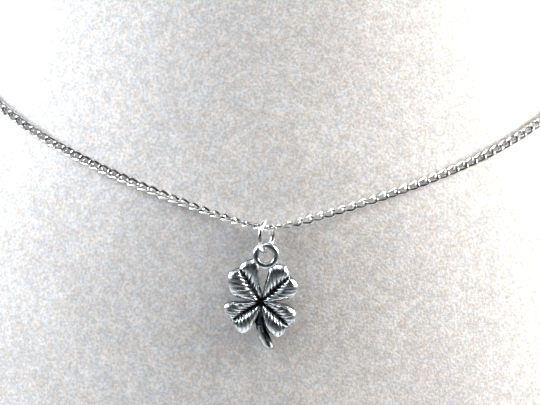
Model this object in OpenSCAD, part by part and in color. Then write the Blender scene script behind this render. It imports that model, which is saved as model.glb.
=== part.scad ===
// A fine curb chain necklace with a cast four leaf clover charm, on its velvet neck bust.
// Millimetres. Z is up, the bust's front faces -Y, and the origin is under the middle of its base.

/* [Bust] */
// Height of the bust
bust_h = 235; // [215:1:260]
// Width of the bust at its widest
bust_w = 168; // [158:1:180]
// Depth of the bust at its deepest
bust_d = 110; // [102:1:120]
// Radius of the rounded edge at its base and top
bust_edge = 4; // [1:0.5:8]

/* [Chain] */
// Length of the necklace round the neck, clasp included
chain_l = 407; // [396:1:420]
// Step from one link to the next
link_pitch = 1.75; // [1.72:0.01:1.8]
// Thickness of a link's wire
link_wire = 0.42; // [0.36:0.01:0.44]
// Radius of a link's round ends, at the middle of the wire
link_bend_r = 0.7; // [0.68:0.01:0.74]
// Length of a link's straight sides
link_straight = 1.0; // [0.96:0.01:1.04]
// Roll of each end of a link, one to either side, in degrees
link_roll = 38; // [36:1:42]
// Clearance between the chain and the velvet
chain_gap = 0.2; // [0.1:0.05:0.5]

/* [Clasp] */
// Outer diameter of the clasp
clasp_d = 6; // [5:0.1:8]
// Thickness of the clasp
clasp_wire = 0.6; // [0.5:0.01:0.62]

/* [Jump ring] */
// Inner diameter of the jump ring
ring_bore = 4.2; // [3.8:0.05:4.4]
// Thickness of the jump ring's wire
ring_wire = 0.74; // [0.6:0.02:0.8]
// Turn of the ring from edge-on, as it hangs, in degrees
ring_turn = 23; // [0:1:35]
// Clearance between the ring and the chain that it hangs on, whose links stand on edge there
ring_clearance = 0.18; // [0.16:0.01:0.3]

/* [Charm] */
// Reach of the leaves from the middle of the clover, on which its outline is drawn
clover_r = 5.9; // [5.5:0.1:6.2]
// Hole of the eyelet
eyelet_bore = 2.1; // [1.9:0.05:2.2]
// Thickness of the eyelet's round bar
eyelet_wire = 1.05; // [1:0.05:1.2]
// Clearance between the eyelet and the ring that it hangs on
eyelet_clearance = 0.12; // [0.05:0.01:0.2]
// Flat back of the charm, behind the middle of the eyelet
back_t = 0.7; // [0.6:0.05:0.9]
// Top of the domed leaves, in front of the middle of the eyelet
dome_t = 0.8; // [0.6:0.05:1]
// Rim of the leaves, in front of the middle of the eyelet
rim_t = 0.3; // [0.1:0.05:0.5]
// Depth of the groove along each leaf, behind the middle of the eyelet
groove_t = 0.2; // [0:0.05:0.4]
// Height of the raised veins above the dome
vein_h = 0.1; // [0.04:0.01:0.16]
// Veins on each half of a leaf
veins = 9; // [6:1:10]
// Clearance between the hanging pendant and the velvet
pendant_gap = 0.3; // [0.2:0.05:1]

/* [Hidden] */

// Sections of the bust: height, half width, front and back,
// as shares of its height, half width and half depth
BUST = [
    [0.00, 0.98, 0.985, 0.985],
    [0.08, 1.00, 1.000, 1.000],
    [0.25, 0.97, 0.950, 0.965],
    [0.42, 0.84, 0.900, 0.925],
    [0.50, 0.74, 0.840, 0.915],
    [0.60, 0.66, 0.750, 0.900],
    [0.75, 0.57, 0.570, 0.870],
    [0.90, 0.54, 0.510, 0.830],
    [1.00, 0.54, 0.510, 0.810]
];
bust_sides = 56;
bust_rings = 22;
edge_steps = 3;

// Half leaves, anticlockwise from the top: the crotch beside it, points of its edge,
// and the notch at its tip, as shares of clover_r from the middle of the clover
TOP = [0.03, 0.20];
LEFT = [-0.22, 0.02];
BOTTOM = [0.00, -0.16];
RIGHT = [0.28, 0.01];
NOTCH_A = [-0.59, 0.87];
NOTCH_B = [-0.75, -0.51];
NOTCH_C = [0.72, -0.62];
NOTCH_D = [0.715, 0.69];
HALVES = [
    [TOP, [-0.05, 0.42], [-0.09, 0.71], [-0.07, 0.98], [-0.19, 1.10],
     [-0.40, 1.07], [-0.53, 0.96], NOTCH_A],
    [LEFT, [-0.53, 0.08], [-0.75, 0.18], [-0.85, 0.34], [-0.89, 0.55],
     [-0.84, 0.73], [-0.73, 0.82], NOTCH_A],
    [LEFT, [-0.42, -0.01], [-0.67, -0.01], [-0.88, -0.06], [-0.97, -0.19],
     [-0.93, -0.32], [-0.83, -0.42], NOTCH_B],
    [BOTTOM, [-0.05, -0.29], [-0.13, -0.50], [-0.25, -0.70], [-0.39, -0.82],
     [-0.52, -0.83], [-0.66, -0.72], NOTCH_B],
    [BOTTOM, [0.05, -0.42], [0.13, -0.68], [0.25, -0.83], [0.41, -0.91],
     [0.54, -0.88], [0.66, -0.75], NOTCH_C],
    [RIGHT, [0.46, -0.03], [0.70, -0.09], [0.87, -0.22], [0.92, -0.37], [0.86, -0.53], NOTCH_C],
    [RIGHT, [0.55, 0.06], [0.79, 0.14], [0.91, 0.27], [0.94, 0.40],
     [0.89, 0.53], [0.81, 0.62], NOTCH_D],
    [TOP, [0.08, 0.46], [0.14, 0.71], [0.22, 0.94], [0.41, 0.98],
     [0.58, 0.96], [0.67, 0.84], NOTCH_D]
];
// Stem: its left and right edge as shares of clover_r, and its height as a share of the front of the domes
STEM = [
    [-0.06, -0.10, 0.06, -0.10, -0.1],
    [-0.15, -0.50, 0.13, -0.50, 0.0],
    [-0.115, -0.66, 0.11, -0.66, 0.4],
    [-0.075, -0.90, 0.22, -0.88, 0.7],
    [0.05, -1.13, 0.37, -1.23, 0.8],
    [0.10, -1.19, 0.365, -1.285, 0.1]
];
// Place of the eyelet, which the tips of the two upper leaves run into, as shares of clover_r
EYELET = [0.09, 1.21];
leaf_steps = 6;
// How fast the relief rises along a groove, and its veins across it
groove_power = 0.35;
vein_power = 0.4;
// Ridge along the stem, as a share of its width, and the depth of the bevels beside it
stem_ridge = 0.55;
stem_bevel = 0.35;

// How the chain lies: the share of its rise that its pendant pulls straight, how soft the low point is,
// how the rest of the rise grows, and how high it comes at the back, as a share of bust_h
pull = 0.39;
low_soft = 0.02;
rise_power = 2.02;
back_share = 0.89;
// Where its lowest point is looked for, as shares of bust_h, and in how many halvings
low_from = 0.3;
low_to = 0.55;
halvings = 14;
// Stretch on which the chain stands off the velvet beside the pendant
lift_run = 16;
// The chain stands on edge in the ring, turns quickly beside it, and then rolls over slowly
edge_run = 1;
turn_run = 5;
turn_left = 15;
turn_right = 40;
roll_run = 40;
clasp_run = 25;
path_step = 1;
whole_turn = 180;
// Half the step, in degrees and in height, that a slope is measured over
near = 0.4;

link_reach = link_bend_r + link_wire / 2;
link_hole = link_straight / 2 + link_bend_r - link_wire / 2;
link_side_y = link_bend_r * cos(link_roll);
link_side_z = link_bend_r * sin(link_roll);
link_half_t = link_side_z + link_wire / 2;
clasp_r = (clasp_d - clasp_wire) / 2;
clasp_seat = 0.1;
clasp_reach = clasp_r + link_hole - clasp_wire / 2 - clasp_seat;
clasp_roll = 90 - link_roll;
ring_r = (ring_bore + ring_wire) / 2;
ring_drop = ring_bore / 2 - link_half_t - ring_clearance;
eyelet_r = (eyelet_bore + eyelet_wire) / 2;
eyelet_drop = ring_r + eyelet_r - (ring_wire + eyelet_wire) / 2 - eyelet_clearance;
charm_drop = (EYELET[1] - STEM[5][3]) * clover_r;
link_n = round((chain_l - 2 * clasp_reach) / link_pitch) + 1;
path_l = (link_n - 1) * link_pitch + 2 * clasp_reach;
round_fn = 48;

// A smooth curve through column k of a table, whose first column is the place along it
function slope(t, i, k) = i == 0 || i == len(t) - 1
    ? 0
    : (t[i + 1][k] - t[i - 1][k]) / (t[i + 1][0] - t[i - 1][0]);
function between(t, k, i, u, w) =
    (2 * u ^ 3 - 3 * u ^ 2 + 1) * t[i][k] + (u ^ 3 - 2 * u ^ 2 + u) * w * slope(t, i, k)
    + (3 * u ^ 2 - 2 * u ^ 3) * t[i + 1][k] + (u ^ 3 - u ^ 2) * w * slope(t, i + 1, k);
function along(t, x, k, i = 0) = x > t[i + 1][0] && i < len(t) - 2
    ? along(t, x, k, i + 1)
    : between(t, k, i, (x - t[i][0]) / (t[i + 1][0] - t[i][0]), t[i + 1][0] - t[i][0]);

// The bust's surface, at an angle from the front and a height
function bust_half(z) = along(BUST, z / bust_h, 1) * bust_w / 2;
function bust_front(z) = along(BUST, z / bust_h, 2) * bust_d / 2;
function bust_back(z) = along(BUST, z / bust_h, 3) * bust_d / 2;
function bust_point(a, z, inset = 0) = [
    (bust_half(z) - inset) * sin(a),
    (bust_back(z) - bust_front(z)) / 2 - ((bust_back(z) + bust_front(z)) / 2 - inset) * cos(a),
    z
];
function unit(v) = v / norm(v);
function bust_normal(a, z) = unit(cross(
    bust_point(a + near, z) - bust_point(a - near, z),
    bust_point(a, z + near) - bust_point(a, z - near)
));

// Where the pendant hangs, below a chain whose lowest point is at the height low
function pendant_y(low) = -pendant_gap - max(
    bust_front(low - ring_drop) + (ring_r + ring_wire / 2) * cos(ring_turn),
    bust_front(low - ring_drop - eyelet_drop - charm_drop) + back_t
);

// The chain's route, at an angle from the front, for a lowest point at the height low
function route_z(a, low) = low + (back_share * bust_h - low) * (
    pull * (sqrt(sin(a / 2) ^ 2 + low_soft ^ 2) - low_soft)
    + (1 - pull) * ((1 - cos(a)) / 2) ^ rise_power
);
function stand_off(x, lift) = link_reach + chain_gap + lift * max(0, 1 - abs(x) / lift_run) ^ 2;
function lift_at(low) =
    (pendant_y(low) + bust_front(low)) / bust_normal(0, low)[1] - link_reach - chain_gap;
function route(a, low, lift) =
    let (z = route_z(a, low), p = bust_point(a, z)) p + bust_normal(a, z) * stand_off(p[0], lift);
function steps(low, lift) = [
    for (a = [0:path_step:whole_turn - path_step])
        norm(route(a + path_step, low, lift) - route(a, low, lift))
];
function total(v, i = 0, sum = 0) = i == len(v) ? sum : total(v, i + 1, sum + v[i]);
function running(v, i = 0, sum = 0) = i == len(v)
    ? [[sum, whole_turn]]
    : concat([[sum, i * path_step]], running(v, i + 1, sum + v[i]));
function half_l(low) = total(steps(low, lift_at(low)));
// The longer the chain, the lower it hangs
function solve(low, high, n) = n == 0
    ? (low + high) / 2
    : half_l((low + high) / 2) > path_l / 2
        ? solve((low + high) / 2, high, n - 1)
        : solve(low, (low + high) / 2, n - 1);
low_z = solve(low_from * bust_h, low_to * bust_h, halvings);
lift = lift_at(low_z);
angles = running(steps(low_z, lift));

function angle_at(s) = sign(s) * lookup(abs(s), angles);
function ramp(x) = min(1, max(0, x));
function first_turn(s) = s > 0 ? turn_right : turn_left;
function chain_roll(s) = -90 - sign(s) * (
    first_turn(s) * ramp((abs(s) - edge_run) / turn_run)
    + (90 - first_turn(s)) * ramp((abs(s) - edge_run - turn_run) / roll_run)
    + clasp_roll * ramp(1 - (path_l / 2 - abs(s)) / clasp_run)
);
hang = route(0, low_z, lift);
// The neck is round, so the flat clasp lies a little deeper, where the end links' own axis meets it
clasp_sink = (route(whole_turn, low_z, lift) - route(angle_at(path_l / 2 - clasp_r), low_z, lift))
    * bust_normal(whole_turn, route_z(whole_turn, low_z));
ring_z = hang[2] - ring_drop;
eyelet_z = ring_z - eyelet_drop;

// Puts its children on the route at the angle a, with X along the chain and Z away from the bust
module on_route(a) {
    t = unit(route(a + near, low_z, lift) - route(a - near, low_z, lift));
    n0 = bust_normal(a, route_z(a, low_z));
    n = unit(n0 - t * (n0 * t));
    y = cross(n, t);
    p = route(a, low_z, lift);
    multmatrix([
        [t[0], y[0], n[0], p[0]],
        [t[1], y[1], n[1], p[1]],
        [t[2], y[2], n[2], p[2]],
        [0, 0, 0, 1]
    ]) children();
}

module wire_ring(r, wire, angle = 360) {
    rotate_extrude(angle = angle, $fn = round_fn) translate([r, 0]) circle(d = wire);
}

// The bust's rings from base to top, with rounded edges
function base_ring(i) =
    let (q = 90 * i / edge_steps)
    [bust_edge * (1 - cos(q)), bust_edge * (1 - sin(q))];
function top_ring(i) =
    let (q = 90 * i / edge_steps)
    [bust_h - bust_edge * (1 - sin(q)), bust_edge * (1 - cos(q))];
bust_profile = concat(
    [for (i = [0:edge_steps]) base_ring(i)],
    [for (i = [1:bust_rings - 1]) [bust_edge + (bust_h - 2 * bust_edge) * i / bust_rings, 0]],
    [for (i = [0:edge_steps]) top_ring(i)]
);

module bust() {
    n = bust_sides;
    m = len(bust_profile);
    points = [for (r = bust_profile, i = [0:n - 1]) bust_point(360 * i / n, r[0], r[1])];
    walls = [for (j = [0:m - 2], i = [0:n - 1]) let (k = (i + 1) % n)
        each [[j * n + i, (j + 1) * n + i, (j + 1) * n + k], [j * n + i, (j + 1) * n + k, j * n + k]]];
    base = [for (i = [0:n - 1]) i];
    top = [for (i = [n - 1:-1:0]) (m - 1) * n + i];
    color([0.80, 0.78, 0.77]) polyhedron(points, concat(walls, [base, top]));
}

module link_end() {
    translate([link_straight / 2, 0, 0])
        rotate([-link_roll, 0, 0])
            rotate([0, 0, -90])
                wire_ring(link_bend_r, link_wire, 180);
}

module link_side() {
    translate([-link_straight / 2, link_side_y, link_side_z])
        rotate([0, 90 + atan2(2 * link_side_z, link_straight), 0])
            cylinder(h = norm([link_straight, 2 * link_side_z]), d = link_wire, $fn = round_fn);
}

module link() {
    link_end();
    rotate([0, 0, 180]) link_end();
    link_side();
    rotate([180, 0, 0]) link_side();
}

module chain() {
    color([0.88, 0.88, 0.87])
        for (i = [0:link_n - 1]) {
            s = (i - (link_n - 1) / 2) * link_pitch;
            on_route(angle_at(s)) rotate([chain_roll(s), 0, 0]) link();
        }
}

module clasp() {
    color([0.85, 0.85, 0.84]) on_route(whole_turn)
        translate([0, 0, -clasp_sink]) wire_ring(clasp_r, clasp_wire);
}

module jump_ring() {
    color([0.92, 0.92, 0.91])
        translate([0, hang[1], ring_z])
            rotate([0, 0, 90 - ring_turn])
                rotate([90, 0, 0])
                    wire_ring(ring_r, ring_wire);
}

// A smooth curve through a list of points, at the share u of its length
function spline(p, i, u) =
    let (a = p[max(0, i - 1)], b = p[i], c = p[i + 1], d = p[min(len(p) - 1, i + 2)])
    0.5 * (2 * b + (c - a) * u + (2 * a - 5 * b + 4 * c - d) * u ^ 2 + (3 * b - a - 3 * c + d) * u ^ 3);
function on_edge(p, u) =
    let (x = u * (len(p) - 1), i = min(len(p) - 2, floor(x))) spline(p, i, x - i);

rows = 2 * veins;
// Height of a half leaf at the share u along its groove and v from the groove to its edge
function dome(v) = (dome_t + groove_t) * (1 - (1 - v) ^ 3) - (dome_t - rim_t) * v ^ 3;
function fade(u) = sin(180 * u) ^ groove_power;
function vein(i, v) = (i % 2 == 0 ? -vein_h : vein_h) * (4 * v * (1 - v)) ^ vein_power;
function leaf_h(i, v) = -groove_t + (i == 0 ? 0 : fade(i / rows) * (dome(v) + vein(i, v)));
function leaf_point(half, i, j) =
    let (u = i / rows, v = j / leaf_steps, notch = half[len(half) - 1])
    let (p = (notch * u * (1 - v) + on_edge(half, u) * v) * clover_r)
    [p[0], p[1], leaf_h(i, v)];

// Points of one half leaf: the relief, row by row, then the notch, then the edge on the flat back
leaf_top = rows * (leaf_steps + 1);
function leaf_points(half) = concat(
    [for (i = [0:rows - 1], j = [0:leaf_steps]) leaf_point(half, i, j)],
    [[half[len(half) - 1][0] * clover_r, half[len(half) - 1][1] * clover_r, -groove_t]],
    [for (i = [0:rows - 1]) let (p = on_edge(half, i / rows) * clover_r) [p[0], p[1], -back_t]],
    [[half[len(half) - 1][0] * clover_r, half[len(half) - 1][1] * clover_r, -back_t]]
);
leaf_count = leaf_top + 1 + rows + 1;
function turned(f, flip) = flip ? [f[2], f[1], f[0]] : f;
function leaf_faces(b, flip) =
    let (w = leaf_steps + 1, back = b + leaf_top + 1, tip = b + leaf_top)
    let (
        relief = [for (i = [0:rows - 2], j = [0:leaf_steps - 1])
            let (q = b + i * w + j)
            each [[q, q + w, q + w + 1], [q, q + w + 1, q + 1]]],
        fan = [for (j = [0:leaf_steps - 1]) [b + (rows - 1) * w + j, tip, b + (rows - 1) * w + j + 1]],
        wall = [for (i = [0:rows - 1])
            let (e = b + i * w + leaf_steps, f = i == rows - 1 ? tip : e + w)
            each [[e, f, back + i + 1], [e, back + i + 1, back + i]]]
    )
    [for (f = concat(relief, fan, wall)) turned(f, flip)];

module clover_body() {
    points = [for (h = HALVES) each leaf_points(h)];
    faces = [for (k = [0:len(HALVES) - 1]) each leaf_faces(k * leaf_count, k % 2 == 1)];
    // The back is one flat face: up the edge of each half leaf, then down the next one's
    back = [for (k = [0:len(HALVES) - 1])
        let (b = k * leaf_count + leaf_top + 1)
        each (k % 2 == 0 ? [for (i = [0:rows - 1]) b + i] : [for (i = [rows:-1:1]) b + i])];
    polyhedron(points, concat(faces, [back]));
}

module stem() {
    function section(r) =
        let (a = [r[0], r[1]] * clover_r, b = [r[2], r[3]] * clover_r, h = r[4] * dome_t)
        let (ridge = a + (b - a) * stem_ridge)
        [
            [a[0], a[1], -back_t],
            [b[0], b[1], -back_t],
            [b[0], b[1], h - stem_bevel],
            [ridge[0], ridge[1], h],
            [a[0], a[1], h - stem_bevel]
        ];
    n = 5;
    m = len(STEM);
    points = [for (r = STEM) each section(r)];
    walls = [for (j = [0:m - 2], i = [0:n - 1]) let (k = (i + 1) % n)
        each [[j * n + i, (j + 1) * n + k, j * n + k], [j * n + i, (j + 1) * n + i, (j + 1) * n + k]]];
    ends = [[for (i = [0:n - 1]) i], [for (i = [n - 1:-1:0]) (m - 1) * n + i]];
    polyhedron(points, concat(walls, ends));
}

module clover_charm() {
    color([0.55, 0.57, 0.58])
        translate([0, hang[1], eyelet_z])
            rotate([90, 0, 0]) {
                wire_ring(eyelet_r, eyelet_wire);
                translate(-EYELET * clover_r) {
                    clover_body();
                    stem();
                }
            }
}

bust();
chain();
clasp();
jump_ring();
clover_charm();
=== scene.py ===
"""A clover charm on its curb chain, worn by a velvet neck bust: the looks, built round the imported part."""

import math
import random

import bmesh
import bpy
import numpy as np
from mathutils import Matrix, Vector, noise


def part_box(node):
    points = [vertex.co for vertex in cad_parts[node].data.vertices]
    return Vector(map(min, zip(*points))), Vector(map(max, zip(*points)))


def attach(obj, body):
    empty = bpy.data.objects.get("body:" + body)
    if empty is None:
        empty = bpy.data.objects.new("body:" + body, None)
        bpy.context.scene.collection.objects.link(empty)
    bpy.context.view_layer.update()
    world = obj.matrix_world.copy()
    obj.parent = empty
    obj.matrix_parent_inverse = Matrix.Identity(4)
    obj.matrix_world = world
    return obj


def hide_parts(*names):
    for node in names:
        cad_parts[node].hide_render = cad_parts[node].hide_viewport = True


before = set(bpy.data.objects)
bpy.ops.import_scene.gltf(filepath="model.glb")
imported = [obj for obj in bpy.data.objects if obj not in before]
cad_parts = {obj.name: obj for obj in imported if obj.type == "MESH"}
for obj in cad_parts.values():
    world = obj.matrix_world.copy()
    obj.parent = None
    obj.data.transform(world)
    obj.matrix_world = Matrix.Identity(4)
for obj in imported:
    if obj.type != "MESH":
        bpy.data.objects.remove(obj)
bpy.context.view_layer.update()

MM = 0.001

# The bust, in millimetres. Its sections are height, half width, front and back, as shares of its sizes.
BUST_H, BUST_W, BUST_D, BUST_EDGE = 235, 168, 110, 4
EDGE_RINGS, WALL_RINGS, BUST_SIDES = 6, 72, 120
BUST = [
    (0.00, 0.98, 0.985, 0.985),
    (0.08, 1.00, 1.000, 1.000),
    (0.25, 0.97, 0.950, 0.965),
    (0.42, 0.84, 0.900, 0.925),
    (0.50, 0.74, 0.840, 0.915),
    (0.60, 0.66, 0.750, 0.900),
    (0.75, 0.57, 0.570, 0.870),
    (0.90, 0.54, 0.510, 0.830),
    (1.00, 0.54, 0.510, 0.810),
]

# A link of the chain and the two wire rings, in millimetres, at the middle of their wire.
# The links are filed flat on both faces of the chain.
LINK_L, LINK_W, LINK_TWIST, LINK_WIRE, LINK_FLAT = 2.4, 1.2, 0.36, 0.42, 0.46
LINK_STEPS, LINK_SIDES, LINK_LEAN = 14, 6, 3
# Powers of the cosine and sine that make a link's sides long and its ends round
LINK_END, LINK_SIDE = 0.85, 0.8
# Where on the wire's inside the painted shade starts, how fast it grows, and its least amount
PAINTED_SHADE_FROM, PAINTED_SHADE_GROWS, PAINTED_SHADE_LEAST = -0.28, 2.8, 0.05
RING_R, RING_WIRE = 2.47, 0.74
CLASP_R, CLASP_WIRE = 2.7, 0.6
RING_STEPS, RING_SIDES = 96, 24

# The charm, in millimetres: heights are measured forwards from the middle of the eyelet
CLOVER_R = 5.9
EYELET_R, EYELET_WIRE, EYELET_STEPS = 1.575, 1.05, 72
BACK, DOME, RIM, GROOVE = 0.7, 0.8, 0.3, 0.2
VEINS, VEIN_H = 9, 0.09
VEIN_STEPS, LEAF_ROWS = 12, 28
DRAFT, ROUND, LIP = 0.05, 0.12, 0.05
# The share of a half leaf's rows that lies on its dome, before its rounded rim
ON_DOME = 0.9
# Points nearer than this are one point
WELD = 0.002
# The eyelet's middle, as shares of CLOVER_R
EYELET = (0.09, 1.21)
# The crotches between the leaves and the notches at their tips, as shares of CLOVER_R
TOP, LEFT, BOTTOM, RIGHT = (0.03, 0.20), (-0.22, 0.02), (0.00, -0.16), (0.28, 0.01)
NOTCH_A, NOTCH_B, NOTCH_C, NOTCH_D = (-0.59, 0.87), (-0.75, -0.51), (0.72, -0.62), (0.715, 0.69)
# Each half leaf from its crotch to its notch, as shares of CLOVER_R
HALVES = [
    [TOP, (-0.05, 0.42), (-0.09, 0.71), (-0.07, 0.98), (-0.19, 1.10),
     (-0.40, 1.07), (-0.53, 0.96), NOTCH_A],
    [LEFT, (-0.53, 0.08), (-0.75, 0.18), (-0.85, 0.34), (-0.89, 0.55),
     (-0.84, 0.73), (-0.73, 0.82), NOTCH_A],
    [LEFT, (-0.42, -0.01), (-0.67, -0.01), (-0.88, -0.06), (-0.97, -0.19),
     (-0.93, -0.32), (-0.83, -0.42), NOTCH_B],
    [BOTTOM, (-0.05, -0.29), (-0.13, -0.50), (-0.25, -0.70), (-0.39, -0.82),
     (-0.52, -0.83), (-0.66, -0.72), NOTCH_B],
    [BOTTOM, (0.05, -0.42), (0.13, -0.68), (0.25, -0.83), (0.41, -0.91),
     (0.54, -0.88), (0.66, -0.75), NOTCH_C],
    [RIGHT, (0.46, -0.03), (0.70, -0.09), (0.87, -0.22), (0.92, -0.37), (0.86, -0.53), NOTCH_C],
    [RIGHT, (0.55, 0.06), (0.79, 0.14), (0.91, 0.27), (0.94, 0.40),
     (0.89, 0.53), (0.81, 0.62), NOTCH_D],
    [TOP, (0.08, 0.46), (0.14, 0.71), (0.22, 0.94), (0.41, 0.98),
     (0.58, 0.96), (0.67, 0.84), NOTCH_D],
]
# The stem's left and right edge, and its height as a share of the front of the domes
STEM = [
    (-0.06, -0.10, 0.06, -0.10, -0.1),
    (-0.15, -0.50, 0.13, -0.50, 0.0),
    (-0.115, -0.66, 0.11, -0.66, 0.4),
    (-0.075, -0.90, 0.22, -0.88, 0.7),
    (0.05, -1.13, 0.37, -1.23, 0.8),
    (0.10, -1.19, 0.365, -1.285, 0.1),
]
STEM_RIDGE, STEM_BEVEL, STEM_EDGE, STEM_ROWS = 0.55, 0.45, 0.03, 24
# How black the stem's corners are, painted as shade on its right flank and towards its back: back left and
# right, front right, the ridge's two sides, front left
STEM_PAINTED_SHADE = (1, 1, 1, 1, 0.05, 0.25)
# The share of the stem that stays black under the leaves
STEM_DARK = 0.4

# Where the lights are aimed, and the angle that their grids leave open, in degrees
CHEST, LIGHT_SPREAD = (0, -40, 92), 40
# Each light's name, place and size across in millimetres, its watts and its colour
LIGHTS = [
    ("window_left", (-330, -250, 330), 220, 0.022, (0.82, 0.91, 1.0)),
    ("window_right", (330, -230, 330), 150, 0.023, (1.0, 0.92, 0.83)),
    ("side_left", (-430, -60, 300), 280, 0.49, (0.95, 0.97, 1.0)),
    ("side_right", (430, -60, 300), 280, 0.55, (1.0, 0.98, 0.96)),
    ("top", (0, -300, 520), 300, 0.036, (1.0, 1.0, 1.0)),
]
# The floor's size in metres, and how bright the middle tones are shown
FLOOR, VIEW_GAMMA = 8, 0.82
# The camera: degrees to the right, up and rolled, and its distance in millimetres
CAMERA_TURN, CAMERA_RISE, CAMERA_ROLL, CAMERA_FAR = 0.4, 9, -1.49, 280
# Its lens in pixels of the photograph's width, and the sensor's width in millimetres
LENS_PIXELS, FRAME_PIXELS, SENSOR = 1848, 540, 36
# Height of the chain's lowest point, and how far right of it and above it the frame's middle lies
CHAIN_LOW, AIM = 99.6222, (0.4, 3.82)


# ---- materials -------------------------------------------------------------------------------


def new_material(name):
    """A material with its nodes, links and main shader."""
    material = bpy.data.materials.new(name)
    material.use_nodes = True
    nodes = material.node_tree.nodes
    return material, nodes, material.node_tree.links, nodes["Principled BSDF"]


def add(nodes, kind, **settings):
    """A shader node with its properties, and its sockets by name where they aren't properties."""
    node = nodes.new(kind)
    for key, value in settings.items():
        if hasattr(node, key):
            setattr(node, key, value)
        else:
            node.inputs[key.replace("_", " ")].default_value = value
    return node


def blend_colours(nodes, links, factor, low, high):
    """A mix of two colours by a mask, all of them colours or sockets."""
    mix = nodes.new("ShaderNodeMix")
    mix.data_type = "RGBA"
    for socket, value in zip((mix.inputs[0], mix.inputs[6], mix.inputs[7]), (factor, low, high)):
        if isinstance(value, bpy.types.NodeSocket):
            links.new(value, socket)
        else:
            socket.default_value = value
    return mix.outputs[2]


def ramp(nodes, links, value, low, high, to_low=0.0, to_high=1.0):
    """A smooth rise from one number to another while the value goes from low to high."""
    node = nodes.new("ShaderNodeMapRange")
    node.interpolation_type = "SMOOTHSTEP"
    for socket, number in zip(("From Min", "From Max", "To Min", "To Max"), (low, high, to_low, to_high)):
        node.inputs[socket].default_value = number
    links.new(value, node.inputs["Value"])
    return node.outputs["Result"]


def velvet():
    """Short pale pile: fine fuzz, soft mottling, broad painted shading where the nap leans, and a pale
    sheen.
    """
    material, nodes, links, shader = new_material("velvet")
    place = add(nodes, "ShaderNodeTexCoord").outputs["Object"]
    fuzz = add(nodes, "ShaderNodeTexNoise", Scale=2600, Detail=3, Roughness=0.6)
    mottle = add(nodes, "ShaderNodeTexNoise", Scale=750, Detail=3, Roughness=0.6)
    nap = add(nodes, "ShaderNodeTexNoise", Scale=110, Detail=4, Roughness=0.55)
    tint = add(nodes, "ShaderNodeTexNoise", Scale=900, Detail=1)
    for node in (fuzz, mottle, nap, tint):
        links.new(place, node.inputs["Vector"])
    fine = blend_colours(
        nodes, links, ramp(nodes, links, fuzz.outputs[0], 0.3, 0.7),
        (0.54, 0.53, 0.525, 1), (0.75, 0.74, 0.735, 1))
    soft = blend_colours(
        nodes, links, ramp(nodes, links, mottle.outputs[0], 0.3, 0.7), (0.86, 0.855, 0.85, 1), (1, 1, 1, 1))
    # Painted shade: broad lighter and darker patches stand in for how the light falls on the leaning nap
    painted_nap_shade = blend_colours(
        nodes, links, ramp(nodes, links, nap.outputs[0], 0.3, 0.7), (0.94, 0.94, 0.94, 1), (1, 1, 1, 1))
    warm = blend_colours(
        nodes, links, ramp(nodes, links, tint.outputs[0], 0.35, 0.65),
        (1.0, 0.97, 0.942, 1), (0.952, 0.976, 1.0, 1))
    colour = fine
    for other in (soft, painted_nap_shade, warm):
        times = add(nodes, "ShaderNodeMix", data_type="RGBA", blend_type="MULTIPLY")
        times.inputs[0].default_value = 1
        links.new(colour, times.inputs[6])
        links.new(other, times.inputs[7])
        colour = times.outputs[2]
    links.new(colour, shader.inputs["Base Color"])
    bump = add(nodes, "ShaderNodeBump", Strength=0.3, Distance=0.0002)
    links.new(fuzz.outputs[0], bump.inputs["Height"])
    links.new(bump.outputs["Normal"], shader.inputs["Normal"])
    shader.inputs["Roughness"].default_value = 0.95
    shader.inputs["Specular IOR Level"].default_value = 0.15
    shader.inputs["Sheen Weight"].default_value = 0.5
    shader.inputs["Sheen Roughness"].default_value = 0.5
    shader.inputs["Sheen Tint"].default_value = (0.97, 0.97, 1.0, 1)
    return material


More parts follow.
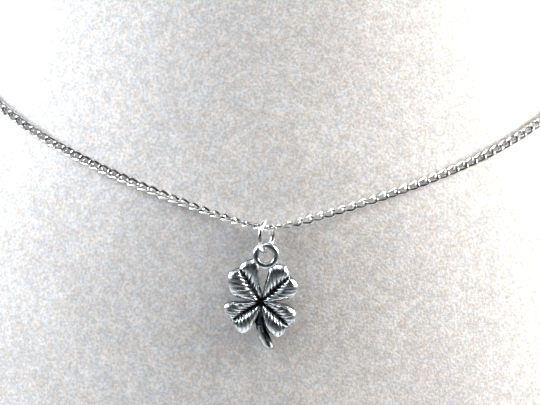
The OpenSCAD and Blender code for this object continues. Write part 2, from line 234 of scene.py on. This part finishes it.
def silver_wear():
    """Silver with oxide and painted shade: a mask of how black it is, fine scratches and small dull spots.
    """
    group = bpy.data.node_groups.new("silver_wear", "ShaderNodeTree")
    sockets = group.interface
    for name, kind in (
        ("Polished", "NodeSocketColor"), ("Oxide", "NodeSocketColor"), ("Oxide_and_painted_shade", "NodeSocketFloat"),
        ("Gloss", "NodeSocketFloat"), ("Dull", "NodeSocketFloat"), ("Grain", "NodeSocketFloat"),
        ("Depth", "NodeSocketFloat"),
    ):
        sockets.new_socket(name=name, in_out="INPUT", socket_type=kind)
    for name, kind in (
        ("Color", "NodeSocketColor"), ("Roughness", "NodeSocketFloat"), ("Normal", "NodeSocketVector"),
    ):
        sockets.new_socket(name=name, in_out="OUTPUT", socket_type=kind)
    nodes, links = group.nodes, group.links
    given, out = nodes.new("NodeGroupInput"), nodes.new("NodeGroupOutput")
    place = add(nodes, "ShaderNodeTexCoord").outputs["Object"]
    grain = add(nodes, "ShaderNodeTexNoise", Detail=4, Roughness=0.6)
    spots = add(nodes, "ShaderNodeTexNoise", Scale=900, Detail=2)
    links.new(place, grain.inputs["Vector"])
    links.new(place, spots.inputs["Vector"])
    links.new(given.outputs["Grain"], grain.inputs["Scale"])
    uneven = add(nodes, "ShaderNodeMath", operation="MULTIPLY_ADD")
    links.new(ramp(nodes, links, spots.outputs[0], 0.3, 0.7, -0.35, 0.35), uneven.inputs[0])
    links.new(given.outputs["Oxide_and_painted_shade"], uneven.inputs[1])
    links.new(given.outputs["Oxide_and_painted_shade"], uneven.inputs[2])
    black = add(nodes, "ShaderNodeClamp")
    links.new(uneven.outputs[0], black.inputs["Value"])
    links.new(
        blend_colours(nodes, links, black.outputs[0], given.outputs["Polished"], given.outputs["Oxide"]),
        out.inputs["Color"])
    rough = add(nodes, "ShaderNodeMix", data_type="FLOAT")
    links.new(black.outputs[0], rough.inputs[0])
    links.new(given.outputs["Gloss"], rough.inputs[2])
    links.new(given.outputs["Dull"], rough.inputs[3])
    patchy = add(nodes, "ShaderNodeMath", operation="MULTIPLY")
    links.new(rough.outputs[0], patchy.inputs[0])
    links.new(ramp(nodes, links, grain.outputs[0], 0.3, 0.7, 0.8, 1.25), patchy.inputs[1])
    links.new(patchy.outputs[0], out.inputs["Roughness"])
    bump = add(nodes, "ShaderNodeBump", Strength=1)
    links.new(given.outputs["Depth"], bump.inputs["Distance"])
    links.new(grain.outputs[0], bump.inputs["Height"])
    links.new(bump.outputs["Normal"], out.inputs["Normal"])
    return group


def silver(name, wear, polished, oxide, gloss, dull, grain, depth, oxide_and_painted_shade=0.0, attribute=None):
    """A silver, evenly blackened or by the points' attribute, with its grain's scale and depth."""
    material, nodes, links, shader = new_material(name)
    shader.inputs["Metallic"].default_value = 1
    look = nodes.new("ShaderNodeGroup")
    look.node_tree = wear
    values = {
        "Polished": (*polished, 1), "Oxide": (*oxide, 1), "Oxide_and_painted_shade": oxide_and_painted_shade,
        "Gloss": gloss, "Dull": dull, "Grain": grain, "Depth": depth,
    }
    for key, value in values.items():
        look.inputs[key].default_value = value
    # The points' mask is oxide in the charm's hollows, and painted shade on the chain's links and the stem's
    # flanks
    if attribute:
        mask = add(nodes, "ShaderNodeAttribute", attribute_name=attribute)
        links.new(mask.outputs["Fac"], look.inputs["Oxide_and_painted_shade"])
    links.new(look.outputs["Color"], shader.inputs["Base Color"])
    links.new(look.outputs["Roughness"], shader.inputs["Roughness"])
    links.new(look.outputs["Normal"], shader.inputs["Normal"])
    return material


# ---- shapes ----------------------------------------------------------------------------------


def piece(name, bm, material, body, node):
    """A finished mesh, smooth, riding on its body in place of its CAD node."""
    mesh = bpy.data.meshes.new(name)
    bm.to_mesh(mesh)
    bm.free()
    mesh.materials.append(material)
    obj = bpy.data.objects.new(name, mesh)
    bpy.context.scene.collection.objects.link(obj)
    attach(obj, body)
    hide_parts(node)
    return obj


def smooth_all(bm):
    """Every face shaded smooth."""
    for face in bm.faces:
        face.smooth = True


def solids_of(node):
    """The middle of each separate solid of a CAD node, with its long, wide and thin direction."""
    bm = bmesh.new()
    bm.from_mesh(node.data)
    bmesh.ops.remove_doubles(bm, verts=bm.verts, dist=1e-7)
    bmesh.ops.triangulate(bm, faces=bm.faces)
    points = np.array([v.co for v in bm.verts])
    corners = np.array([[v.index for v in f.verts] for f in bm.faces])
    bm.free()
    label = np.arange(len(points))
    while True:
        before = label.copy()
        low = label[corners].min(axis=1)
        for k in range(3):
            np.minimum.at(label, corners[:, k], low)
        label = label[label]
        if (label == before).all():
            break
    names, which = np.unique(label[corners[:, 0]], return_inverse=True)
    a, b, c = (points[corners[:, k]] for k in range(3))
    area = np.linalg.norm(np.cross(b - a, c - a), axis=1)
    middle, spread = (a + b + c) / 3, np.zeros((len(names), 3, 3))
    whole = np.bincount(which, area)
    centre = np.stack([np.bincount(which, area * middle[:, k]) for k in range(3)], 1) / whole[:, None]
    for p in (a, b, c, middle):
        d = p - centre[which]
        np.add.at(spread, which, area[:, None, None] * d[:, :, None] * d[:, None, :])
    axes = np.linalg.eigh(spread)[1]
    return [
        (Vector(m), Vector(x[:, 2]), Vector(x[:, 1]), Vector(x[:, 2]).cross(Vector(x[:, 1])))
        for m, x in zip(centre, axes)
    ]


def standing(middle, x, y, z):
    """The place of a shape that is built round its own middle."""
    turn = Matrix((x, y, z)).transposed().to_4x4()
    return Matrix.Translation(middle) @ turn @ Matrix.Scale(MM, 4)


def wire_loop(radius, wire, steps, sides):
    """A round wire bent into a ring in the XY plane, in millimetres, and its points."""
    bm = bmesh.new()
    section = bmesh.ops.create_circle(bm, radius=wire / 2, segments=sides)["verts"]
    bmesh.ops.rotate(bm, verts=section, matrix=Matrix.Rotation(math.pi / 2, 3, "X"))
    bmesh.ops.translate(bm, verts=section, vec=(radius, 0, 0))
    bmesh.ops.spin(
        bm, geom=bm.verts[:] + bm.edges[:], angle=math.tau, steps=steps, axis=(0, 0, 1),
        cent=(0, 0, 0), use_merge=True)
    bmesh.ops.recalc_face_normals(bm, faces=bm.faces)
    smooth_all(bm)
    return bm


def wire_ring(name, node, radius, wire, material, body):
    """A round wire ring on the place and direction of its CAD solid."""
    bm = wire_loop(radius, wire, RING_STEPS, RING_SIDES)
    middle, x, y, z = solids_of(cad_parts[node])[0]
    bmesh.ops.transform(bm, verts=bm.verts, matrix=standing(middle, x, y, z))
    return piece(name, bm, material, body, node)


def curb_line(t):
    """The middle of a link's wire: long sides, round ends, and a twist from one end to the other."""
    c, s = math.cos(t), math.sin(t)
    return Vector((
        LINK_L / 2 * math.copysign(abs(c) ** LINK_END, c),
        LINK_W / 2 * math.copysign(abs(s) ** LINK_SIDE, s),
        -LINK_TWIST * math.sin(2 * t),
    ))


def curb_link():
    """One few sided link of the chain, with painted shade on the inside of its wire."""
    bm = wire_loop(1, LINK_WIRE, LINK_STEPS, LINK_SIDES)
    black = bm.verts.layers.float.new("oxide_and_painted_shade")
    for v in bm.verts:
        t = math.atan2(v.co.y, v.co.x)
        out, up = math.hypot(v.co.x, v.co.y) - 1, v.co.z
        # Painted shade: the inside of the wire gets the dark oxide colour in place of its dark reflections
        # of the shaded velvet beneath
        v[black] = min(1, max(PAINTED_SHADE_LEAST, PAINTED_SHADE_FROM - PAINTED_SHADE_GROWS * out / LINK_WIRE))
        along = (curb_line(t + 0.05) - curb_line(t - 0.05)).normalized()
        side = curb_line(t)
        side = (side - along * side.dot(along)).normalized()
        v.co = curb_line(t) + side * out + side.cross(along) * -up
        v.co.z = max(-LINK_FLAT, min(LINK_FLAT, v.co.z))
    bmesh.ops.recalc_face_normals(bm, faces=bm.faces)
    return bm


def chain(material):
    """The whole loop: a link on the place, direction and roll of every CAD link, leaning at random."""
    chance = random.Random(4)
    one = curb_link()
    shape = bpy.data.meshes.new("link")
    one.to_mesh(shape)
    one.free()
    bm = bmesh.new()
    for middle, x, y, z in solids_of(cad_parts["chain"]):
        start = len(bm.verts)
        bm.from_mesh(shape)
        bm.verts.ensure_lookup_table()
        lean = Matrix.Rotation(math.radians(chance.uniform(-LINK_LEAN, LINK_LEAN)), 4, "X")
        bmesh.ops.transform(bm, verts=bm.verts[start:], matrix=standing(middle, x, y, z) @ lean)
    smooth_all(bm)
    bpy.data.meshes.remove(shape)
    return piece("curb_chain", bm, material, "root", "chain")


def section_share(h, k):
    """Column k of the bust's table at the share h of its height, on a smooth curve."""
    i = max(j for j in range(len(BUST) - 1) if j == 0 or BUST[j][0] <= h)
    step = BUST[i + 1][0] - BUST[i][0]
    u = (h - BUST[i][0]) / step

    def lean(j):
        if j in (0, len(BUST) - 1):
            return 0
        return (BUST[j + 1][k] - BUST[j - 1][k]) / (BUST[j + 1][0] - BUST[j - 1][0])

    return (
        (2 * u**3 - 3 * u**2 + 1) * BUST[i][k] + (u**3 - 2 * u**2 + u) * step * lean(i)
        + (3 * u**2 - 2 * u**3) * BUST[i + 1][k] + (u**3 - u**2) * step * lean(i + 1)
    )


def neck_bust(material):
    """Drawn up from its base in rings, with a rounded edge at the base and at the top."""
    edge = [(BUST_EDGE * (1 - math.cos(q)), BUST_EDGE * (1 - math.sin(q)))
            for q in (math.pi / 2 * i / EDGE_RINGS for i in range(EDGE_RINGS + 1))]
    tall = BUST_H - 2 * BUST_EDGE
    wall = [(BUST_EDGE + tall * i / WALL_RINGS, 0) for i in range(1, WALL_RINGS)]
    rings = edge + wall + [(BUST_H - z, inset) for z, inset in reversed(edge)]
    bm = bmesh.new()
    bmesh.ops.create_cone(bm, cap_ends=True, segments=BUST_SIDES, radius1=1, radius2=1, depth=1)
    upright = [e for e in bm.edges if abs(e.verts[0].co.z - e.verts[1].co.z) > 0.5]
    bmesh.ops.subdivide_edges(bm, edges=upright, cuts=len(rings) - 2)
    for v in bm.verts:
        z, inset = rings[round((v.co.z + 0.5) * (len(rings) - 1))]
        half, front, back = (section_share(z / BUST_H, k) for k in (1, 2, 3))
        half, front, back = half * BUST_W / 2, front * BUST_D / 2, back * BUST_D / 2
        v.co = Vector((
            (half - inset) * v.co.x,
            (back - front) / 2 + ((back + front) / 2 - inset) * v.co.y,
            z,
        )) * MM
    bmesh.ops.recalc_face_normals(bm, faces=bm.faces)
    for face in bm.faces:
        face.smooth = len(face.verts) == 4
    return piece("velvet_bust", bm, material, "root", "bust")


def on_curve(points, u):
    """The point at the share u of a smooth curve through a list of points."""
    x = u * (len(points) - 1)
    i = min(len(points) - 2, int(x))
    u = x - i
    a, b, c, d = (np.array(points[min(len(points) - 1, max(0, i + k))]) for k in (-1, 0, 1, 2))
    return 0.5 * (2 * b + (c - a) * u + (2 * a - 5 * b + 4 * c - d) * u**2
                  + (3 * b - a - 3 * c + d) * u**3)


def half_leaf(bm, black, half, number):
    """One domed half of a leaf, with raised veins from its groove to its rounded rim."""
    made = bmesh.ops.create_grid(bm, x_segments=VEINS * VEIN_STEPS, y_segments=LEAF_ROWS, size=1)["verts"]
    for v in made:
        u, w = (v.co.x + 1) / 2, (v.co.y + 1) / 2
        across = min(1, w / ON_DOME)
        turn = max(0, w - ON_DOME) / (1 - ON_DOME) * math.pi / 2
        groove, edge = np.array(half[-1]) * u * CLOVER_R, on_curve(half, u) * CLOVER_R
        width = float(np.linalg.norm(edge - groove))
        fade = max(0.0, math.sin(math.pi * u)) ** 0.35
        drop = min(ROUND, width / 4)
        reach = 1 - (drop * (1 - math.sin(turn)) + DRAFT) / width if width > 4 * DRAFT else 1
        place = groove + (edge - groove) * across * reach
        # The veins wander a little, with a finer set between them, and differ in strength
        wander = noise.noise(Vector((u * 5, across * 2.5, number * 7))) * 0.25
        wave = 0.8 * math.cos(math.tau * (u * VEINS + wander + 0.5))
        wave += 0.25 * math.cos(math.tau * (u * VEINS * 2.3 + wander * 3 + number))
        strength = 0.8 + 0.9 * noise.noise(Vector((u * 6, across * 4, 40 + number * 7)))
        # The veins stand out most beside the groove, and are worn low on the crown of the dome
        worn = 0.3 + 0.7 * max(0, 1 - across * 2.2) + 0.2 * max(0, across * 4 - 3)
        lift = math.copysign(abs(wave) ** 0.8, wave) * max(0.1, strength) * worn * VEIN_H
        lift *= min(1, across * 12) * (1 - across**6) if across < 1 else 0
        dome = (DOME + GROOVE) * (1 - (1 - across) ** 4) - (DOME - RIM) * across**6
        height = -GROOVE + fade * (dome + lift) - drop * (1 - math.cos(turn)) * fade
        beside = across * width
        centre = float(np.linalg.norm(place))
        # Black in the groove, at the clover's middle and between the veins
        dark = max(
            1 - max(0, beside - 0.02 - 0.12 * (1 - u)) / 0.1,
            1 - max(0, centre - 0.6) / 0.6,
            (0.35 - 0.9 * wave) * worn * (0.5 + 0.8 * strength) * (across < 0.97),
        )
        v[black] = min(1.0, max(0.0, dark))
        v.co = (place[0], place[1], height)


def clover_leaves(bm, black):
    """Eight half leaves joined along their grooves, with dark side walls down to a flat back."""
    for number, half in enumerate(HALVES):
        half_leaf(bm, black, half, number)
    bmesh.ops.remove_doubles(bm, verts=bm.verts, dist=WELD)
    for depth in (LIP, None):
        rim = [e for e in bm.edges if e.is_boundary]
        wall = bmesh.ops.extrude_edge_only(bm, edges=rim)["geom"]
        for v in (g for g in wall if isinstance(g, bmesh.types.BMVert)):
            v.co.z = -BACK if depth is None else v.co.z - depth
            v[black] = 1
    bmesh.ops.holes_fill(bm, edges=[e for e in bm.edges if e.is_boundary])


def stem(bm, black):
    """The curved stem: a bright left flank, a right one painted dark as shade, and a chisel cut end."""
    rows = [on_curve(STEM[:-1], i / STEM_ROWS) for i in range(STEM_ROWS + 1)] + [np.array(STEM[-1])]
    start = len(bm.verts)
    bmesh.ops.create_grid(bm, x_segments=len(rows) - 1, y_segments=len(STEM_PAINTED_SHADE), size=1)
    bm.verts.ensure_lookup_table()
    made = bm.verts[start:]
    for v in made:
        number = round((v.co.x + 1) / 2 * (len(rows) - 1))
        row = rows[number]
        corner = round((v.co.y + 1) / 2 * len(STEM_PAINTED_SHADE)) % len(STEM_PAINTED_SHADE)
        a, b, h = row[:2] * CLOVER_R, row[2:4] * CLOVER_R, row[4] * DOME
        beside = [a + (b - a) * (STEM_RIDGE + step) for step in (STEM_EDGE, -STEM_EDGE)]
        v.co = [
            (*a, -BACK), (*b, -BACK), (*b, h - STEM_BEVEL),
            (*beside[0], h - STEM_EDGE), (*beside[1], h), (*a, h - STEM_BEVEL),
        ][corner]
        covered = 1 - max(0, number / (len(rows) - 1) - STEM_DARK) * 12
        # The painted shade is lighter on the cut end than on the flanks
        painted_shade = STEM_PAINTED_SHADE[corner] * (1 if number < len(rows) - 2 or corner < 2 else 0.4)
        v[black] = max(covered, painted_shade)
    bmesh.ops.remove_doubles(bm, verts=made, dist=WELD)


def clover_charm(material):
    """The cast charm: its leaves and stem, and the thick eyelet that they hang from."""
    bm = bmesh.new()
    black = bm.verts.layers.float.new("oxide_and_painted_shade")
    clover_leaves(bm, black)
    stem(bm, black)
    bmesh.ops.holes_fill(bm, edges=[e for e in bm.edges if e.is_boundary])
    bmesh.ops.translate(bm, verts=bm.verts, vec=(-EYELET[0] * CLOVER_R, -EYELET[1] * CLOVER_R, 0))
    start = len(bm.verts)
    ring = wire_loop(EYELET_R, EYELET_WIRE, EYELET_STEPS, RING_SIDES)
    shape = bpy.data.meshes.new("eyelet")
    ring.to_mesh(shape)
    ring.free()
    bm.from_mesh(shape)
    bpy.data.meshes.remove(shape)
    bm.verts.ensure_lookup_table()
    for v in bm.verts[start:]:
        inside = (EYELET_R - math.hypot(v.co.x, v.co.y)) / (EYELET_WIRE / 2)
        # Black on the front and in the hole, and worn bright along the hole's edge
        v[black] = 0.6 * min(1.0, max(0.0, (inside + 0.55) * 2), max(0.2, 3.4 - inside * 4))
    bmesh.ops.recalc_face_normals(bm, faces=bm.faces)
    smooth_all(bm)
    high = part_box("clover_charm")[1]
    middle = Vector((0, high.y - BACK * MM, high.z - (EYELET_R + EYELET_WIRE / 2) * MM))
    across, up, front = Vector((1, 0, 0)), Vector((0, 0, 1)), Vector((0, -1, 0))
    bmesh.ops.transform(bm, verts=bm.verts, matrix=standing(middle, across, up, front))
    return piece("clover_charm_cast", bm, material, "charm", "clover_charm")


# ---- the object ------------------------------------------------------------------------------

wear = silver_wear()
bright = silver(
    "bright_silver", wear, polished=(0.90, 0.90, 0.89), oxide=(0.04, 0.04, 0.04),
    gloss=0.13, dull=0.4, grain=1500, depth=0.000006, attribute="oxide_and_painted_shade")
ring_finish = silver(
    "ring_silver", wear, polished=(0.93, 0.93, 0.92), oxide=(0.3, 0.3, 0.3),
    gloss=0.12, dull=0.4, grain=1200, depth=0.000006, oxide_and_painted_shade=0.02)
antique = silver(
    "antique_silver", wear, polished=(0.74, 0.79, 0.82), oxide=(0.012, 0.013, 0.014),
    gloss=0.22, dull=0.36, grain=1800, depth=0.000015, attribute="oxide_and_painted_shade")
neck_bust(velvet())
chain(bright)
wire_ring("clasp_ring", "clasp", CLASP_R, CLASP_WIRE, bright, "root")
wire_ring("round_jump_ring", "jump_ring", RING_R, RING_WIRE, ring_finish, "ring")
clover_charm(antique)


# ---- floor, light and camera -----------------------------------------------------------------


def pale_floor():
    """A plain matt floor under the bust."""
    material, _, _, shader = new_material("pale_floor")
    shader.inputs["Base Color"].default_value = (0.6, 0.6, 0.6, 1)
    shader.inputs["Roughness"].default_value = 0.8
    bm = bmesh.new()
    bmesh.ops.create_grid(bm, x_segments=1, y_segments=1, size=FLOOR / 2)
    mesh = bpy.data.meshes.new("floor")
    bm.to_mesh(mesh)
    bm.free()
    mesh.materials.append(material)
    obj = bpy.data.objects.new("floor", mesh)
    bpy.context.scene.collection.objects.link(obj)


def panel(name, place, size, power, colour):
    """A round soft light with a grid, aimed at the chest of the bust."""
    light = bpy.data.lights.new(name, "AREA")
    light.shape, light.size, light.energy, light.color = "DISK", size * MM, power, colour
    light.spread = math.radians(LIGHT_SPREAD)
    obj = bpy.data.objects.new(name, light)
    obj.location = Vector(place) * MM
    obj.rotation_euler = (Vector(place) - Vector(CHEST)).to_track_quat("Z", "Y").to_euler()
    obj.visible_camera = False
    bpy.context.scene.collection.objects.link(obj)


def studio_world():
    """A studio that is bright at both sides and above, and dim in front of the bust."""
    world = bpy.data.worlds.new("studio")
    bpy.context.scene.world = world
    world.use_nodes = True
    nodes, links = world.node_tree.nodes, world.node_tree.links
    towards = nodes.new("ShaderNodeSeparateXYZ")
    links.new(nodes.new("ShaderNodeTexCoord").outputs["Generated"], towards.inputs[0])
    aside = add(nodes, "ShaderNodeMath", operation="ABSOLUTE")
    links.new(towards.outputs["X"], aside.inputs[0])
    total = add(nodes, "ShaderNodeMath", operation="ADD")
    links.new(ramp(nodes, links, aside.outputs[0], 0.55, 0.95, 0.045, 0.8), total.inputs[0])
    links.new(ramp(nodes, links, towards.outputs["Z"], 0.5, 0.95, 0.0, 0.3), total.inputs[1])
    links.new(total.outputs[0], nodes["Background"].inputs["Strength"])
    tint = blend_colours(
        nodes, links, ramp(nodes, links, towards.outputs["X"], -0.8, 0.8),
        (0.88, 0.94, 1, 1), (1, 0.96, 0.9, 1))
    links.new(tint, nodes["Background"].inputs["Color"])


def photo_camera(low_point):
    """Close to the pendant, a little above it and to the right, and rolled slightly."""
    turn, rise, roll = (math.radians(q) for q in (CAMERA_TURN, CAMERA_RISE, CAMERA_ROLL))
    back = Vector((math.sin(turn) * math.cos(rise), -math.cos(turn) * math.cos(rise), math.sin(rise)))
    right = Vector((math.cos(turn), math.sin(turn), 0))
    up = back.cross(right)
    place = low_point + back * CAMERA_FAR * MM
    aim = low_point + (right * AIM[0] + up * AIM[1]) * MM
    back = (place - aim).normalized()
    right = Vector((0, 0, 1)).cross(back).normalized()
    up = back.cross(right)
    x = right * math.cos(roll) - up * math.sin(roll)
    y = right * math.sin(roll) + up * math.cos(roll)
    data = bpy.data.cameras.new("camera")
    data.sensor_width, data.lens = SENSOR, SENSOR * LENS_PIXELS / FRAME_PIXELS
    data.clip_start, data.clip_end = 0.01, 10
    obj = bpy.data.objects.new("camera", data)
    obj.matrix_world = Matrix.Translation(place) @ Matrix((x, y, back)).transposed().to_4x4()
    bpy.context.scene.collection.objects.link(obj)
    bpy.context.scene.camera = obj


pale_floor()
charm_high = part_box("clover_charm")[1]
low_point = Vector((0, charm_high.y - BACK * MM, CHAIN_LOW * MM))
for light in LIGHTS:
    panel(*light)
studio_world()
photo_camera(low_point)
view = bpy.context.scene.view_settings
view.view_transform, view.gamma, view.exposure = "Standard", VIEW_GAMMA, 0.0
